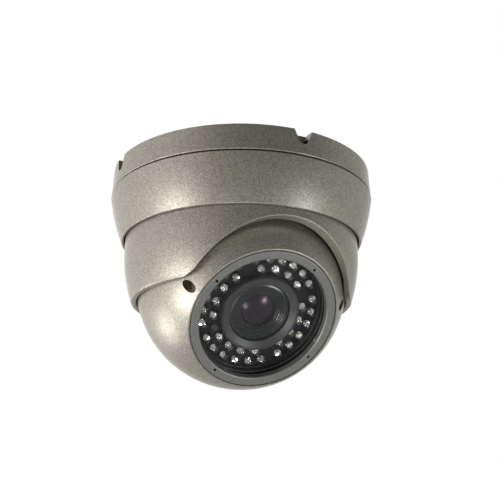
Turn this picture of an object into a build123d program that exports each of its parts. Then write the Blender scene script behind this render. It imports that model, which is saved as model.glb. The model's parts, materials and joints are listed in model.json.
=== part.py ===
from build123d import *

import os
from math import acos, atan2, cos, degrees, hypot, pi, radians, sin, sqrt, tan

# Vandal-resistant turret ("eyeball") dome camera for a ceiling.
# Frame: millimetres, +Z up, origin at the centre of the ceiling face, the body hangs below it.
# The camera ball tilts about the X axis through its centre and pans about the Z axis.
# At rest the lens looks towards -Y, REST_DEPRESSION degrees below the horizontal.

os.makedirs("parts", exist_ok=True)

# --- Base and cover ring -------------------------------------------------------------
BASE_TOP_R = 71.5
BASE_RIM_R = 72.2
BASE_RIM_Z = -14.0
BASE_WALL_R = 69.8
FLOOR_T = 3.5
EDGE = 0.5
COVER_GAP = 0.9
COVER_TOP_R = 72.6
COVER_MID_R = 70.1
COVER_FOOT_R = 65.9
COVER_FOOT_Z = -40.2
COVER_MOUTH_R = 64.8
COVER_BORE_R = 67.3
SPIGOT_R = 69.6
SPIGOT_Z = -9.0
LEDGE_Z = -27.0

# --- Ceiling interface -----------------------------------------------------------------
MOUNT_PCD = 110.0
MOUNT_HOLE_R = 2.5
MOUNT_HOLES = 4
CABLE_Y = 38.0
CABLE_HOLE_R = 9.0
GASKET_R = (58.0, 64.0)
GASKET_T = 1.0
NOTCHES = 4
NOTCH_TURN = 2.4
NOTCH_DEPTH = 8.0
NOTCH_END_R = 3.3
NOTCH_TOP_W = 10.0

NOTCH_LAND = 0.6
GROMMET_LIP = 2.0
GROMMET_LIP_T = 1.2
GROMMET_SETBACK = 0.2
CABLE_R = 5.5

# --- General clearances ------------------------------------------------------------------
OVERRUN = 1.0
RING_PLAY = 0.1
FIT = 0.02
RUNNING = 0.06

# --- Pan stop, cover lock and pan retainer ------------------------------------------------
STOP_POST = (4.0, 2.0)
STOP_DOG = (3.0, 2.0)
STOP_INSET = 1.3
STOP_FOOT_GAP = 0.7
STOP_DOG_RISE = 2.5
LOCK_R = 1.5
LOCK_Z = -11.2
LOCK_SCREW_R = 1.47
LOCK_SCREW_START = 0.3
LOCK_SCREW_LEN = 3.9
LOCK_SOCKET_R = 0.75
LOCK_SOCKET_DEPTH = 1.8
SEAL_SETBACK = 1.8
MOUTH_ROUND = 0.3
CLIP_LIFT = 1.2
CLIP_T = 1.2
CLIP_DEPTH = 1.4
CLIP_IN_R = 64.2
CLIP_GAP_W = 9.0
CLIP_EAR = (7.2, 63.8)
CLIP_EAR_R = 2.2
CLIP_EAR_HOLE_R = 0.9
SPRING_R = (62.4, 66.6)
SPRING_T = 0.4
SPRING_LIFT = 0.05

# --- Turret shell ----------------------------------------------------------------------
WASHER_T = 0.5
FLANGE_R = 67.0
FLANGE_T = 3.0
FLANGE_TOP_Z = LEDGE_Z + WASHER_T + FLANGE_T
SHELL_R = 63.9
SHELL_IN_R = 58.2
SHELL_FOOT_R = 59.7
RIM_Z = -74.3
ARCH_R = 48.0
ARCH_Z = -92.3
ARCH_FOOT_R = 8.0
ARCH_EDGE = 0.4
ARCH_BACK = 20.0
ARCH_REACH = 60.0
ARCH_SKIRT = (150.0, 20.0)
SHELL_BEND_Z = -42.0
SHELL_WAIST = (62.75, -61.0)
RIM_ROUND = 1.4
RIM_IN_R = 57.0
SOCKET_TOP_DROP = 6.0
SOCKET_LIP_DROP = 11.4
SOCKET_TAPER = 2.0
WIPER_Z = -39.6
WIPER_T = 1.2
WIPER_DEPTH = 0.8
WIPER_GAP = 0.9

# --- Camera ball -----------------------------------------------------------------------
BALL_Z = -62.0
BALL_R = 57.0
BALL_IN_R = 54.5
SOCKET_R = 57.6
REST_DEPRESSION = 42.4
FACE_N = 40.5
SEAM_N = -14.0
REAR_CUT_D = 34.3
REAR_CUT_TURN = 21.0

# --- Trunnions (tilt pivots) -----------------------------------------------------------
PIN_R = 3.0
BUSH_R = 4.5
BOSS_R = 8.0
BOSS_X = 56.0
FRICTION_T = 0.5
BOSS_LEN = 4.8
BUSH_LEN = 5.0
PIN_IN_X = 50.0
PIN_LEN = 10.8
PIN_HEAD_R = 5.5
PIN_HEAD_T = 1.6

# --- Ball housings -----------------------------------------------------------------------
SCREW_TURNS = (40, 140, 220, 320)
SCREW_RING_R = 50.8
SCREW_BOSS_R = 3.4
SCREW_BOSS_LEN = 12.0
SCREW_TAP_R = 1.25
SCREW_TAP_DEPTH = 9.0
SCREW_PILLAR_R = 3.7
SCREW_PILLAR_LEN = 24.0
SCREW_CLEAR_R = 1.4
SCREW_SHANK_R = 1.2
SCREW_LEN = 10.0
SCREW_HEAD_R = 2.4
SCREW_HEAD_T = 2.4
SCREW_HEAD_HOLE_R = 2.7
SCREW_SOCKET_R = 1.2
SCREW_SOCKET_DEPTH = 1.3
SEAL_GROOVE_R = (53.3, 54.5)
SEAL_GROOVE_DEPTH = 0.9
POST_TURNS = (60, 120, 240, 300)
POST_RING_R = 34.7
POST_R = 2.4
POST_HOLE_R = 0.95
POST_HOLE_DEPTH = 5.0
CUP_N = 21.8
CUP_R = 37.4
CUP_TOP_N = 33.0
CUP_LEDGE_R = 32.2
GLAND_BORE_R = 5.0
GLAND_THREAD_R = 4.9
GLAND_THREAD_LEN = 3.5
GLAND_HEX_R = 7.5
GLAND_HEX_T = 2.5
GLAND_DOME_R = 5.6
GLAND_DOME_LEN = 4.5
GLAND_DOME_EDGE = 0.8
CABLE_CORE_R = 2.75
BELT_N = 12.0
SHOULDER_N = 18.0
SEAT_PLAY = 0.2
PORT_BOSS_N = 24.0
PORT_BOSS_REACH = 20.0
PORT_BORE_N = 23.0
PORT_BORE_REACH = 22.0
PIN_BORE_X = 45.0
PIN_BORE_LEN = 12.0
BOSS_FACE_REACH = 3.0
HEAD_SEAT_DROP = 3.0

# --- Window, light ring and lens (distances along the lens axis from the ball centre) ---
BEZEL_R = 38.85
BEZEL_IN_R = 34.2
BEZEL_N = 37.0
BEZEL_GAP = 0.5
BEZEL_GAP_DEPTH = 1.2
BEZEL_IN_ROUND = 0.9
BEZEL_OUT_ROUND = 0.35
BALL_RIM_ROUND = 0.5
SPANNER_R = 36.25
SPANNER_HOLE_R = 0.8
SPANNER_TURN = 59.6
GLASS_R = 36.8
GLASS_N = 34.8
GLASS_SEAT_N = 34.2
BOARD_N = 24.9
BOARD_T = 1.6
BOARD_R = 34.0
BOARD_BORE_R = 17.4
BOARD_SCREW_RING_R = 31.0
BOARD_HOLE_R = 1.1
SMALL_SCREW_R = 1.0
SMALL_HEAD_R = 1.9
SMALL_HEAD_T = 1.3
CROSS_SLOT = (2.4, 0.5)
CROSS_DEPTH = 0.6
LED_R = 2.5
LED_TIP_LAND = 0.05
LED_FLANGE_T = 1.0
PHOTOCELL_R = 2.3
PHOTOCELL_H = 6.6
PHOTOCELL_EDGE = 0.5
HOLDER_LIFT = 1.4
HOLDER_T = 2.6
HOLDER_R = 33.2
HOLDER_WALL = 0.35
HOLDER_STEP = 2.6
HOLDER_SLOPE = 0.3
HOLDER_PLAY = 0.2
LAMP_PLAY = 0.12
HEAD_RECESS_R = 2.1
HEAD_RECESS_DEPTH = 0.6
LED_FLANGE_R = 2.85
LED_TIP_N = 33.5
SECTOR_TURN = 29.4
SECTORS = 4
OUTER_LED_R = 30.1
OUTER_LED_PITCH = 14.3
OUTER_LEDS = 6
INNER_LED_R = 24.3
INNER_LED_PITCH = 19.0
INNER_LEDS = 4
SHROUD_R = 21.3
SHROUD_MOUTH_R = 16.5
SHROUD_IN_R = 17.7
SHROUD_LIP_R = 19.6
SHROUD_CHAMFER = (0.2, 1.5)
SHROUD_TOP_CHAMFER = (0.6, 0.8)
SHROUD_MOUTH_DROPS = (1.7, 2.7, 2.9)
HOOD_R = 16.2
BARREL_R = 13.4
ELEMENT_R = 8.9
HOOD_N = 32.4
HOOD_EDGE_DROP = 0.3
HOOD_STEPS = (
    (9.6, 30.2),
    (10.4, 30.2),
    (10.8, 30.8),
    (11.6, 30.8),
    (12.0, 31.3),
    (12.7, 31.3),
    (13.0, 31.7),
    (13.8, 31.7),
    (14.2, 32.1),
    (14.9, 32.1),
    (15.3, HOOD_N),
)
HOOD_BACK_LIFT = 5.2
LENS_FLANGE_R = 18.0
LENS_FLANGE_T = 1.1
LENS_TAIL_R = 11.9
LENS_TAIL_N = -4.0
LENS_TAIL_BORE_R = 7.0
REAR_STEP_N = -1.0
REAR_BORE_R = 6.0
MID_STEP_N = 12.0
MID_BORE_R = 8.2
ELEMENT_SEAT_R = 9.0
ELEMENT_SEAT_N = 26.3
ELEMENT_N = 26.6
ELEMENT_EDGE_N = 29.2
ELEMENT_RISE = 2.2
MIDDLE_LENS_R = 8.1
MIDDLE_LENS_N = (12.6, 14.2)
MIDDLE_LENS_RISE = 1.7
REAR_LENS_R = 5.9
REAR_LENS_N = (2.6, 4.4)
REAR_LENS_RISE = 1.2

# --- Sensor and boards -------------------------------------------------------------------
SENSOR_BOARD_N = -12.0
MAIN_BOARD_N = -20.0
BOARD_PITCH = 33.0
MOUNT_FOOT = (32.0, 26.0, 2.0)
MOUNT_FOOT_T = 3.0
MOUNT_R = 15.2
MOUNT_BORE_R = 12.0
FILTER_N = -8.0
FILTER_SIZE = (14.0, 12.0, 1.0)
FILTER_T = 0.8
FILTER_RAIL = (1.5, 9.0)
FILTER_RAIL_U = 6.0
SENSOR_SIZE = (9.4, 8.2)
SENSOR_T = 1.4
SENSOR_BOARD_SIZE = (38.0, 38.0, 1.5)
MAIN_BOARD_SIZE = (58.0, 46.0, 3.0)
STANDOFF_R = 2.2
BOARD_HEAD_R = 2.0
BOARD_HEAD_T = 1.2
CHIP_SIZE = (14.0, 14.0)
CHIP_SPOT = (0, -2)
CHIP_T = 1.6
CAPACITOR_SPOTS = ((-23.5, 4), (-23.5, -4), (23.5, -6))
CAPACITOR_R = 3.1
CAPACITOR_H = 5.4
COIL_SIZE = (8.0, 8.0, 1.0)
COIL_SPOTS = ((-6, -8), (8, -8))
COIL_H = 3.2
LAMP_HEADER = (5.0, 10.0)
LAMP_HEADER_SPOT = (23.5, 9)
CABLE_HEADER = (16.0, 5.0)
CABLE_HEADER_SPOT = (0, -18)
HEADER_H = 5.0

# --- Zoom and focus adjusters ----------------------------------------------------------
PORT_U = 42.7
PORT_V = 11.6
PORT_R = 2.65
PORT_BOSS_R = 4.6
MODULE = 0.8
PRESSURE = 20.0
ADDENDUM = 0.8
DEDENDUM = 1.25
THINNING = 0.1
RING_TEETH = 51
IDLER_TEETH = 24
PINION_TEETH = 12
CENTRE_SLACK = 0.1
GEAR_T = 3.0
FOCUS_N = 15.0
ZOOM_N = 5.0
PLATE_N = 11.0
PLATE_T = 2.0
PLATE_R = 37.2
PLATE_EAR_W = 9.0
SHAFT_R = 2.0
SHAFT_TAIL = 0.5
IDLER_PIN_R = 1.5
IDLER_PIN_LEN = 8.2
IDLER_PIN_HEAD_R = 2.6
IDLER_PIN_HEAD_T = 0.8
IDLER_HUB_R = 4.0
IDLER_HUB_LEN = 5.3
IDLER_BORE_REACH = 8.0
RING_BORE_R = BARREL_R + 0.05
RING_HUB_R = 16.4
RING_HUB_DROP = 0.7
FOCUS_HUB_LEN = 5.7
ZOOM_HUB_LEN = 6.5
RING_BORE_REACH = 8.0
HEAD_N = 22.5
HEAD_TOP_N = 26.0
SLOT_SIZE = (0.8, 6.0)
SLOT_DEPTH = 1.5
PLATE_SCREW_R = 0.9
PLATE_SCREW_BITE = 4.0
SPANNER_HOLE_DEPTH = 2.2
GASKET_LAND = 0.4

# --- Planes and axes of the camera ball --------------------------------------------------
tilt_cos = cos(radians(REST_DEPRESSION))
tilt_sin = sin(radians(REST_DEPRESSION))
BALL_CENTRE = (0, 0, BALL_Z)
LENS_DIR = (0, -tilt_cos, -tilt_sin)
LENS_AXIS = Axis(BALL_CENTRE, LENS_DIR)
LENS = Plane(origin=BALL_CENTRE, x_dir=(1, 0, 0), z_dir=LENS_DIR)
MERIDIAN = Plane(origin=BALL_CENTRE, x_dir=(1, 0, 0), z_dir=(0, tilt_sin, -tilt_cos))
TRUNNIONS = [Plane(origin=BALL_CENTRE, x_dir=(0, side, 0), z_dir=(side, 0, 0)) for side in (1, -1)]
rear_turn = radians(REST_DEPRESSION + REAR_CUT_TURN)
REAR_CUT = Plane(origin=BALL_CENTRE, x_dir=(1, 0, 0), z_dir=(0, cos(rear_turn), sin(rear_turn)))


def sphere_r(radius, height):
    """Radius of a sphere's slice at a height above or below its centre."""
    return sqrt(radius**2 - height**2)


def lens_plane(u, v, n):
    """Plane across the lens axis, u to the right, v up and n forward of the ball centre."""
    origin = LENS.from_local_coords((u, v, n))
    return Plane(origin=origin, x_dir=(1, 0, 0), z_dir=LENS_DIR)


def dome_middle(edge_r, edge_n, rise):
    """Point halfway up a spherical cap that stands on a circle round the lens axis."""
    radius = (edge_r**2 + rise**2) / (2 * rise)
    return (edge_r / 2, edge_n + rise - radius + sphere_r(radius, edge_r / 2))


def corners_at(profile, *spots):
    """Corners of a flat profile nearest to the given places on its own plane."""
    return [profile.vertices().sort_by_distance((*spot, 0))[0] for spot in spots]


def radial_plane(azimuth, height):
    """Upright plane that faces outwards at an azimuth, measured from -Y towards +X."""
    turn = radians(azimuth)
    return Plane(origin=(0, 0, height), x_dir=(cos(turn), sin(turn), 0), z_dir=(sin(turn), -cos(turn), 0))


def led_places(ring_r, pitch, per_sector):
    """Centres of one ring of lamps: equal sectors with a gap between neighbours."""
    first = (360 / SECTORS - pitch * (per_sector - 1)) / 2
    places = []
    for sector in range(SECTORS):
        for lamp in range(per_sector):
            turn = radians(SECTOR_TURN + 360 / SECTORS * sector + first + pitch * lamp)
            places.append((ring_r * cos(turn), ring_r * sin(turn)))
    return places


def gear_outline(teeth, phase):
    """Corners of a spur gear with one tooth centred on the phase angle, in degrees."""
    pitch_r = MODULE * teeth / 2
    base_r = pitch_r * cos(radians(PRESSURE))
    root_r = pitch_r - DEDENDUM * MODULE
    tip_r = pitch_r + ADDENDUM * MODULE
    pitch_involute = tan(radians(PRESSURE)) - radians(PRESSURE)
    corners = []
    for tooth in range(teeth):
        middle = radians(phase + 360 * tooth / teeth)
        flank = []
        for radius in (root_r, (base_r + pitch_r) / 2, pitch_r, tip_r):
            slope = acos(min(1, base_r / radius))
            half = pi / (2 * teeth) + pitch_involute - (tan(slope) - slope) - THINNING / (2 * pitch_r)
            flank.append((radius, half))
        for radius, half in flank:
            corners.append((radius * cos(middle - half), radius * sin(middle - half)))
        for radius, half in reversed(flank):
            corners.append((radius * cos(middle + half), radius * sin(middle + half)))
    return corners


# Gear train of one adjuster: ring gear on the lens, idler, pinion on the adjuster shaft.
port_r = hypot(PORT_U, PORT_V)
idler_r = MODULE * (RING_TEETH + IDLER_TEETH) / 2 + CENTRE_SLACK
pinion_gap = MODULE * (IDLER_TEETH + PINION_TEETH) / 2 + CENTRE_SLACK
idler_bend = acos((idler_r**2 + port_r**2 - pinion_gap**2) / (2 * idler_r * port_r))


def train(side):
    """Idler centre and the rest angles of idler and pinion; side is +1 right, -1 left."""
    to_idler = degrees(atan2(PORT_V, PORT_U) - idler_bend)
    if side < 0:
        to_idler = 180 - to_idler
    idler = (idler_r * cos(radians(to_idler)), idler_r * sin(radians(to_idler)))
    to_pinion = degrees(atan2(PORT_V - idler[1], side * PORT_U - idler[0]))
    idler_step = 360 / IDLER_TEETH
    idler_phase = to_idler + 180 + idler_step / 2
    lead = (idler_phase - to_pinion) % idler_step
    pinion_step = 360 / PINION_TEETH
    pinion_phase = to_pinion + 180 - lead * IDLER_TEETH / PINION_TEETH + pinion_step / 2
    return to_idler, idler, idler_phase, pinion_phase


# ======================================================================================
# Base: fixed to the ceiling
# ======================================================================================

# Base plate: cast dish with a flat floor against the ceiling and a rim all round.
with BuildPart() as base_plate:
    with BuildSketch(Plane.XZ) as base_profile:
        with BuildLine():
            Polyline(
                (0, 0),
                (BASE_TOP_R, 0),
                (BASE_RIM_R, BASE_RIM_Z),
                (BASE_WALL_R, BASE_RIM_Z),
                (BASE_WALL_R, -FLOOR_T),
                (0, -FLOOR_T),
                close=True,
            )
        make_face()
        fillet(corners_at(base_profile, (BASE_TOP_R, 0), (BASE_RIM_R, BASE_RIM_Z)), radius=EDGE)
    revolve(axis=Axis.Z)
    with BuildSketch(Plane.XY):
        Circle(GASKET_R[1])
        Circle(GASKET_R[0], mode=Mode.SUBTRACT)
    extrude(amount=-GASKET_T, mode=Mode.SUBTRACT)
    with Locations((0, CABLE_Y, 0)):
        Hole(CABLE_HOLE_R, depth=FLOOR_T)
    with PolarLocations(MOUNT_PCD / 2, MOUNT_HOLES, start_angle=45):
        Hole(MOUNT_HOLE_R, depth=FLOOR_T)
    # Side cable entries, open to the ceiling.
    notch_cut_r = GASKET_R[1] + NOTCH_LAND
    for notch in range(NOTCHES):
        with BuildSketch(radial_plane(NOTCH_TURN + 360 / NOTCHES * notch, 0).offset(notch_cut_r)):
            with BuildLine():
                Polyline(
                    (-NOTCH_END_R, NOTCH_END_R - NOTCH_DEPTH),
                    (-NOTCH_TOP_W / 2, 0),
                    (NOTCH_TOP_W / 2, 0),
                    (NOTCH_END_R, NOTCH_END_R - NOTCH_DEPTH),
                )
                ThreePointArc(
                    (NOTCH_END_R, NOTCH_END_R - NOTCH_DEPTH),
                    (0, -NOTCH_DEPTH),
                    (-NOTCH_END_R, NOTCH_END_R - NOTCH_DEPTH),
                )
            make_face()
        extrude(amount=BASE_RIM_R - notch_cut_r + OVERRUN, mode=Mode.SUBTRACT)
    # Pan stop post, hanging from the floor at the front.
    stop_y = -(SHELL_IN_R + STOP_INSET)
    stop_foot_z = FLANGE_TOP_Z + STOP_FOOT_GAP
    with BuildSketch(Plane.XY.offset(-FLOOR_T)):
        with Locations((0, stop_y)):
            Rectangle(*STOP_POST)
    extrude(amount=stop_foot_z + FLOOR_T)
    # Threaded hole of the cover's locking screw, at the back.
    with BuildSketch(radial_plane(180, LOCK_Z).offset(BASE_WALL_R - OVERRUN)):
        Circle(LOCK_R)
    extrude(amount=BASE_RIM_R - BASE_WALL_R + 2 * OVERRUN, mode=Mode.SUBTRACT)
base_plate.part.label = "base_plate"
export_step(base_plate.part, "parts/base_plate.step")

# Ceiling gasket: closed-cell foam ring, flush with the ceiling face.
with BuildPart() as ceiling_gasket:
    with BuildSketch(Plane.XY):
        Circle(GASKET_R[1] - RING_PLAY)
        Circle(GASKET_R[0] + RING_PLAY, mode=Mode.SUBTRACT)
    extrude(amount=-GASKET_T)
ceiling_gasket.part.label = "ceiling_gasket"
export_step(ceiling_gasket.part, "parts/ceiling_gasket.step")

# Cable grommet: rubber ring gripping the edge of the cable hole.
with BuildPart() as cable_grommet:
    with BuildSketch(Plane.XY.offset(-FLOOR_T)):
        with Locations((0, CABLE_Y)):
            Circle(CABLE_HOLE_R + GROMMET_LIP)
    extrude(amount=-GROMMET_LIP_T)
    with BuildSketch(Plane.XY.offset(-FLOOR_T)):
        with Locations((0, CABLE_Y)):
            Circle(CABLE_HOLE_R)
    extrude(amount=FLOOR_T - GROMMET_SETBACK)
    with Locations((0, CABLE_Y, 0)):
        Hole(CABLE_R, depth=FLOOR_T + GROMMET_LIP_T + OVERRUN)
cable_grommet.part.label = "cable_grommet"
export_step(cable_grommet.part, "parts/cable_grommet.step")

# Cover ring: tapering outer casting that hides the turret's flange and carries it.
clip_z = FLANGE_TOP_Z + CLIP_LIFT
with BuildPart() as cover_ring:
    top_z = BASE_RIM_Z - COVER_GAP
    with BuildSketch(Plane.XZ) as cover_profile:
        with BuildLine():
            Polyline(
                (COVER_FOOT_R, COVER_FOOT_Z),
                (COVER_MOUTH_R, COVER_FOOT_Z),
                (COVER_MOUTH_R, LEDGE_Z),
                (COVER_BORE_R, LEDGE_Z),
                (COVER_BORE_R, clip_z),
                (COVER_BORE_R + CLIP_DEPTH, clip_z),
                (COVER_BORE_R + CLIP_DEPTH, clip_z + CLIP_T),
                (COVER_BORE_R, clip_z + CLIP_T),
                (COVER_BORE_R, SPIGOT_Z),
                (SPIGOT_R, SPIGOT_Z),
                (SPIGOT_R, top_z),
                (COVER_TOP_R, top_z),
            )
            ThreePointArc(
                (COVER_TOP_R, top_z),
                (COVER_MID_R, (top_z + COVER_FOOT_Z) / 2),
                (COVER_FOOT_R, COVER_FOOT_Z),
            )
        make_face()
        outer_edges = ((COVER_TOP_R, top_z), (COVER_FOOT_R, COVER_FOOT_Z))
        fillet(corners_at(cover_profile, *outer_edges), radius=EDGE)
        fillet(corners_at(cover_profile, (COVER_MOUTH_R, COVER_FOOT_Z)), radius=MOUTH_ROUND)
    revolve(axis=Axis.Z)
    with BuildSketch(radial_plane(180, LOCK_Z).offset(COVER_BORE_R - OVERRUN)):
        Circle(LOCK_R)
    extrude(amount=SPIGOT_R - COVER_BORE_R + 2 * OVERRUN, mode=Mode.SUBTRACT)
cover_ring.part.label = "cover_ring"
export_step(cover_ring.part, "parts/cover_ring.step")

# Cover seal: rubber ring squeezed between the base rim and the cover, set back in the groove.
with BuildPart() as cover_seal:
    with BuildSketch(Plane.XY.offset(BASE_RIM_Z)):
        Circle(BASE_RIM_R - SEAL_SETBACK)
        Circle(BASE_WALL_R + RING_PLAY / 2, mode=Mode.SUBTRACT)
    extrude(amount=-COVER_GAP)
cover_seal.part.label = "cover_seal"
export_step(cover_seal.part, "parts/cover_seal.step")

# Cover locking screw: flush socket set screw through the base rim into the cover's spigot.
with BuildPart() as cover_lock_screw:
    lock_start = COVER_BORE_R + LOCK_SCREW_START
    with BuildSketch(radial_plane(180, LOCK_Z).offset(lock_start)):
        Circle(LOCK_SCREW_R)
    extrude(amount=LOCK_SCREW_LEN)
    with BuildSketch(radial_plane(180, LOCK_Z).offset(lock_start + LOCK_SCREW_LEN - LOCK_SOCKET_DEPTH)):
        RegularPolygon(LOCK_SOCKET_R, 6)
    extrude(amount=LOCK_SOCKET_DEPTH, mode=Mode.SUBTRACT)
cover_lock_screw.part.label = "cover_lock_screw"
export_step(cover_lock_screw.part, "parts/cover_lock_screw.step")

# Pan friction washer: nylon ring on the cover's ledge, under the turret flange.
with BuildPart() as pan_friction_washer:
    with BuildSketch(Plane.XY.offset(LEDGE_Z)):
        Circle(COVER_BORE_R - RING_PLAY)
        Circle(COVER_MOUTH_R + RING_PLAY, mode=Mode.SUBTRACT)
    extrude(amount=WASHER_T)
pan_friction_washer.part.label = "pan_friction_washer"
export_step(pan_friction_washer.part, "parts/pan_friction_washer.step")

# Pan spring washer: coned steel ring that presses the flange onto the friction washer.
with BuildPart() as pan_spring_washer:
    with BuildSketch(Plane.XZ):
        with BuildLine():
            Polyline(
                (SPRING_R[0], FLANGE_TOP_Z + SPRING_LIFT),
                (SPRING_R[1], clip_z - SPRING_T),
                (SPRING_R[1], clip_z),
                (SPRING_R[0], FLANGE_TOP_Z + SPRING_LIFT + SPRING_T),
                close=True,
            )
        make_face()
    revolve(axis=Axis.Z)
pan_spring_washer.part.label = "pan_spring_washer"
export_step(pan_spring_washer.part, "parts/pan_spring_washer.step")

# Pan retaining ring: open steel ring sprung into the cover's groove.
with BuildPart() as pan_retaining_ring:
    with BuildSketch(Plane.XY.offset(clip_z)):
        Circle(COVER_BORE_R + CLIP_DEPTH - RING_PLAY)
        Circle(CLIP_IN_R, mode=Mode.SUBTRACT)
        with Locations((0, COVER_BORE_R)):
            Rectangle(CLIP_GAP_W, 2 * (COVER_BORE_R - CLIP_IN_R + OVERRUN), mode=Mode.SUBTRACT)
    extrude(amount=CLIP_T)
    for side in (1, -1):
        with BuildSketch(Plane.XY.offset(clip_z)):
            with Locations((side * CLIP_EAR[0], CLIP_EAR[1])):
                Circle(CLIP_EAR_R)
                Circle(CLIP_EAR_HOLE_R, mode=Mode.SUBTRACT)
        extrude(amount=CLIP_T)
pan_retaining_ring.part.label = "pan_retaining_ring"
export_step(pan_retaining_ring.part, "parts/pan_retaining_ring.step")

# ======================================================================================
# Turret: pans on the cover's ledge
# ======================================================================================

# Turret shell: deep cup with a round arch cut out at the front for the camera ball.
socket_top_z = BALL_Z - SOCKET_TOP_DROP
lip_z = BALL_Z - SOCKET_LIP_DROP
with BuildPart() as turret_shell:
    with BuildSketch(Plane.XZ):
        with BuildLine():
            Polyline(
                (sphere_r(SOCKET_R, socket_top_z - BALL_Z), socket_top_z),
                (SHELL_IN_R, socket_top_z + SOCKET_TAPER),
                (SHELL_IN_R, FLANGE_TOP_Z),
                (FLANGE_R, FLANGE_TOP_Z),
                (FLANGE_R, FLANGE_TOP_Z - FLANGE_T),
                (SHELL_R, FLANGE_TOP_Z - FLANGE_T),
                (SHELL_R, SHELL_BEND_Z),
            )
            ThreePointArc((SHELL_R, SHELL_BEND_Z), SHELL_WAIST, (SHELL_FOOT_R, RIM_Z + RIM_ROUND))
            rim_bulge = RIM_ROUND * (1 - sqrt(0.5))
            ThreePointArc(
                (SHELL_FOOT_R, RIM_Z + RIM_ROUND),
                (SHELL_FOOT_R - rim_bulge, RIM_Z + rim_bulge),
                (SHELL_FOOT_R - RIM_ROUND, RIM_Z),
            )
            Polyline(
                (SHELL_FOOT_R - RIM_ROUND, RIM_Z),
                (RIM_IN_R, RIM_Z + RING_PLAY),
                (sphere_r(SOCKET_R, lip_z - BALL_Z), lip_z),
            )
            mid_z = (lip_z + socket_top_z) / 2
            ThreePointArc(
                (sphere_r(SOCKET_R, lip_z - BALL_Z), lip_z),
                (sphere_r(SOCKET_R, mid_z - BALL_Z), mid_z),
                (sphere_r(SOCKET_R, socket_top_z - BALL_Z), socket_top_z),
            )
        make_face()
    revolve(axis=Axis.Z)
    # Inner bosses for the tilt pivots, with blind bores for their bushes.
    for plane in TRUNNIONS:
        with BuildSketch(plane.offset(BOSS_X)):
            Circle(BOSS_R)
        extrude(amount=BOSS_LEN)
        with BuildSketch(plane.offset(BOSS_X)):
            Circle(BUSH_R)
        extrude(amount=BUSH_LEN + RING_PLAY, mode=Mode.SUBTRACT)
    # Pan stop dog on the flange, at the back.
    with BuildSketch(Plane.XY.offset(FLANGE_TOP_Z - OVERRUN)):
        with Locations((0, SHELL_IN_R + STOP_INSET)):
            Rectangle(*STOP_DOG)
    extrude(amount=STOP_DOG_RISE + OVERRUN)
    # Groove of the dust wiper.
    with BuildSketch(Plane.XY.offset(WIPER_Z)):
        Circle(SHELL_IN_R + WIPER_DEPTH)
    extrude(amount=WIPER_T, mode=Mode.SUBTRACT)
    # Arch: a round opening cut straight back, with rounded feet on the rim.
    with BuildSketch(Plane.XZ.offset(ARCH_BACK)) as arch:
        with Locations((0, ARCH_Z)):
            Circle(ARCH_R)
        with Locations((0, RIM_Z - ARCH_SKIRT[1] / 2)):
            Rectangle(*ARCH_SKIRT)
        foot_x = sphere_r(ARCH_R, RIM_Z - ARCH_Z)
        feet = corners_at(arch, (-foot_x, RIM_Z), (foot_x, RIM_Z))
        fillet(feet, radius=ARCH_FOOT_R)
    before_arch = turret_shell.edges()
    extrude(amount=ARCH_REACH, mode=Mode.SUBTRACT)
    # Edge break along the outer side of the arch.
    wall_middle_r = (SHELL_R + SHELL_IN_R) / 2
    new_edges = turret_shell.edges() - before_arch
    high_edges = [edge for edge in new_edges if edge.center().Z > SHELL_WAIST[1]]
    arch_edges = [edge for edge in high_edges if hypot(edge.center().X, edge.center().Y) > wall_middle_r]
    fillet(arch_edges, radius=ARCH_EDGE)
turret_shell.part.label = "turret_shell"
export_step(turret_shell.part, "parts/turret_shell.step")

# Dust wiper: felt ring in the shell that closes the gap round the ball.
with BuildPart() as dust_wiper:
    with BuildSketch(Plane.XY.offset(WIPER_Z)):
        Circle(SHELL_IN_R + WIPER_DEPTH - RING_PLAY)
        Circle(sphere_r(BALL_R, WIPER_Z - BALL_Z) + WIPER_GAP, mode=Mode.SUBTRACT)
    extrude(amount=WIPER_T)
dust_wiper.part.label = "dust_wiper"
export_step(dust_wiper.part, "parts/dust_wiper.step")

# Trunnion bushes: plastic bearings of the two tilt pivots.
with BuildPart() as trunnion_bushes:
    for plane in TRUNNIONS:
        with BuildSketch(plane.offset(BOSS_X)):
            Circle(BUSH_R - FIT)
            Circle(PIN_R + RUNNING, mode=Mode.SUBTRACT)
        extrude(amount=BUSH_LEN)
trunnion_bushes.part.label = "trunnion_bushes"
export_step(trunnion_bushes.part, "parts/trunnion_bushes.step")

# ======================================================================================
# Camera ball: tilts in the turret
# ======================================================================================

screw_spots = [(SCREW_RING_R * cos(radians(t)), SCREW_RING_R * sin(radians(t))) for t in SCREW_TURNS]
posts = [(POST_RING_R * cos(radians(t)), POST_RING_R * sin(radians(t))) for t in POST_TURNS]
ports = [(side * PORT_U, PORT_V) for side in (1, -1)]
HEAD_SEAT_N = SEAM_N - HEAD_SEAT_DROP

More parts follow.
